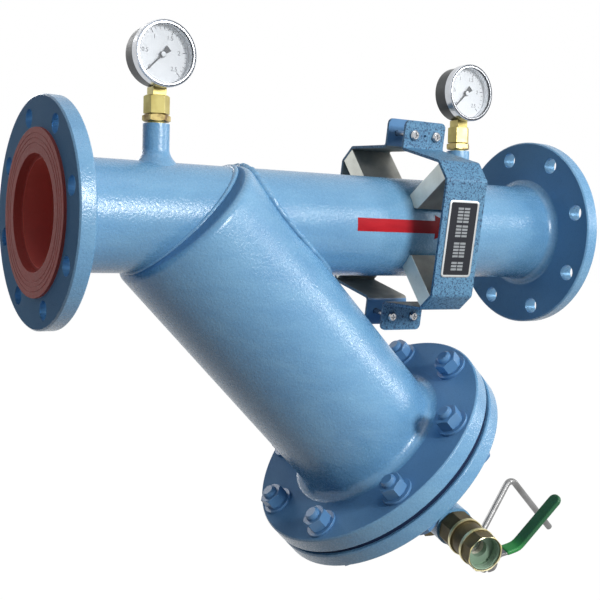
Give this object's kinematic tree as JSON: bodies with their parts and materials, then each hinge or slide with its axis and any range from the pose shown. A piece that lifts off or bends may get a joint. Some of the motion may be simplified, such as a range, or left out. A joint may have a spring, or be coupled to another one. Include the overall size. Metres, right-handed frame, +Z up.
{
  "type": "hand-cleaned pipeline strainer",
  "caption": "Y-type flanged pipeline strainer with a slanted filter barrel, a hand crank that turns an inner brush, a drain ball valve, pressure gauges and a clamp-on collar.",
  "frame": {"origin": "centre of the inlet flange's bolting face, on the pipe axis", "axes": "+X along the flow from inlet to outlet, +Z up towards the gauges, -Y the side that the dials and the collar's plate face"},
  "size_m": [0.696, 0.3219, 0.574],
  "materials": {
    "blue_enamel": "satin-gloss brushed enamel",
    "yellow_brass": "machined",
    "bronzed_brass": "dull cast brass with bright ring edges",
    "bright_steel": "drawn bright",
    "chromed_ball": "polished",
    "polished_ring": "polished",
    "black_rubber": "matt",
    "pale_plastic": "matt",
    "green_plastic": "dipped",
    "black_enamel": "gloss",
    "white_enamel": "matt",
    "clear_glass": "clear",
    "hammertone_blue": "hammertone",
    "grey_blocks": "pale grey",
    "black_plate": "printed black with a bare border"
  },
  "bodies": {
    "housing": {"inlet_pipe": "blue_enamel", "outlet_pipe": "blue_enamel", "filter_barrel": "blue_enamel", "barrel_end_plate": "blue_enamel", "inlet_flange": "blue_enamel", "outlet_flange": "blue_enamel", "barrel_flange": "blue_enamel", "weld_beads": "blue_enamel", "cover_gasket": "black_rubber", "cover_plate": "blue_enamel", "cover_bolts": "blue_enamel", "cover_nuts": "blue_enamel", "cover_washers": "blue_enamel", "screen_cage": "bright_steel", "screen_mesh": "bright_steel", "screen_rings": "bright_steel", "pilot_spider": "bright_steel", "drain_chamber": "blue_enamel", "gland_housing": "blue_enamel", "gland_packing": "black_rubber", "gland_nut": "bronzed_brass", "drain_branch": "blue_enamel", "drain_nipple": "bronzed_brass", "valve_body": "bronzed_brass", "valve_end": "bronzed_brass", "valve_seats": "pale_plastic", "stem_packing": "pale_plastic", "stem_gland": "bronzed_brass", "gauge_bosses": "blue_enamel", "gauge_locknuts": "yellow_brass", "gauge_adapters": "yellow_brass", "gauge_tubes": "yellow_brass", "inlet_gauge_stem": "yellow_brass", "inlet_gauge_case": "black_enamel", "inlet_gauge_bezel": "polished_ring", "inlet_gauge_lens": "clear_glass", "inlet_gauge_dial": "white_enamel", "outlet_gauge_stem": "yellow_brass", "outlet_gauge_case": "black_enamel", "outlet_gauge_bezel": "polished_ring", "outlet_gauge_lens": "clear_glass", "outlet_gauge_dial": "white_enamel", "collar_front_half": "hammertone_blue", "collar_rear_half": "hammertone_blue", "collar_blocks": "grey_blocks", "collar_screws": "bright_steel", "collar_nuts": "bright_steel", "collar_plate": "black_plate"},
    "crank": {"crank_rod": "bright_steel", "brush_holder": "bright_steel", "brush_strips": "pale_plastic"},
    "drain_handle": {"valve_ball": "chromed_ball", "valve_stem": "bronzed_brass", "drain_lever": "bright_steel", "lever_sleeve": "green_plastic", "lever_nut": "bright_steel"},
    "inlet_needle": {"inlet_gauge_pointer": "black_enamel"},
    "outlet_needle": {"outlet_gauge_pointer": "black_enamel"}
  },
  "joints": [
    {"name": "crank_turn", "type": "hinge", "parent": "housing", "child": "crank", "pos_m": [0.147, 0, 0], "axis": [0.7071, 0, -0.7071], "continuous": true},
    {"name": "drain_lever_turn", "type": "hinge", "parent": "housing", "child": "drain_handle", "pos_m": [0.40595, -0.14227, -0.31664], "axis": [0.7071, 0, -0.7071], "range_deg": [0, 90]},
    {"name": "inlet_needle_turn", "type": "hinge", "parent": "housing", "child": "inlet_needle", "pos_m": [0.1185, -0.018, 0.155], "axis": [0, 1, 0], "range_deg": [0, 270], "stiffness_Nm_per_rad": 0.0004},
    {"name": "outlet_needle_turn", "type": "hinge", "parent": "housing", "child": "outlet_needle", "pos_m": [0.5, -0.018, 0.155], "axis": [0, 1, 0], "range_deg": [0, 270], "stiffness_Nm_per_rad": 0.0004}
  ]
}
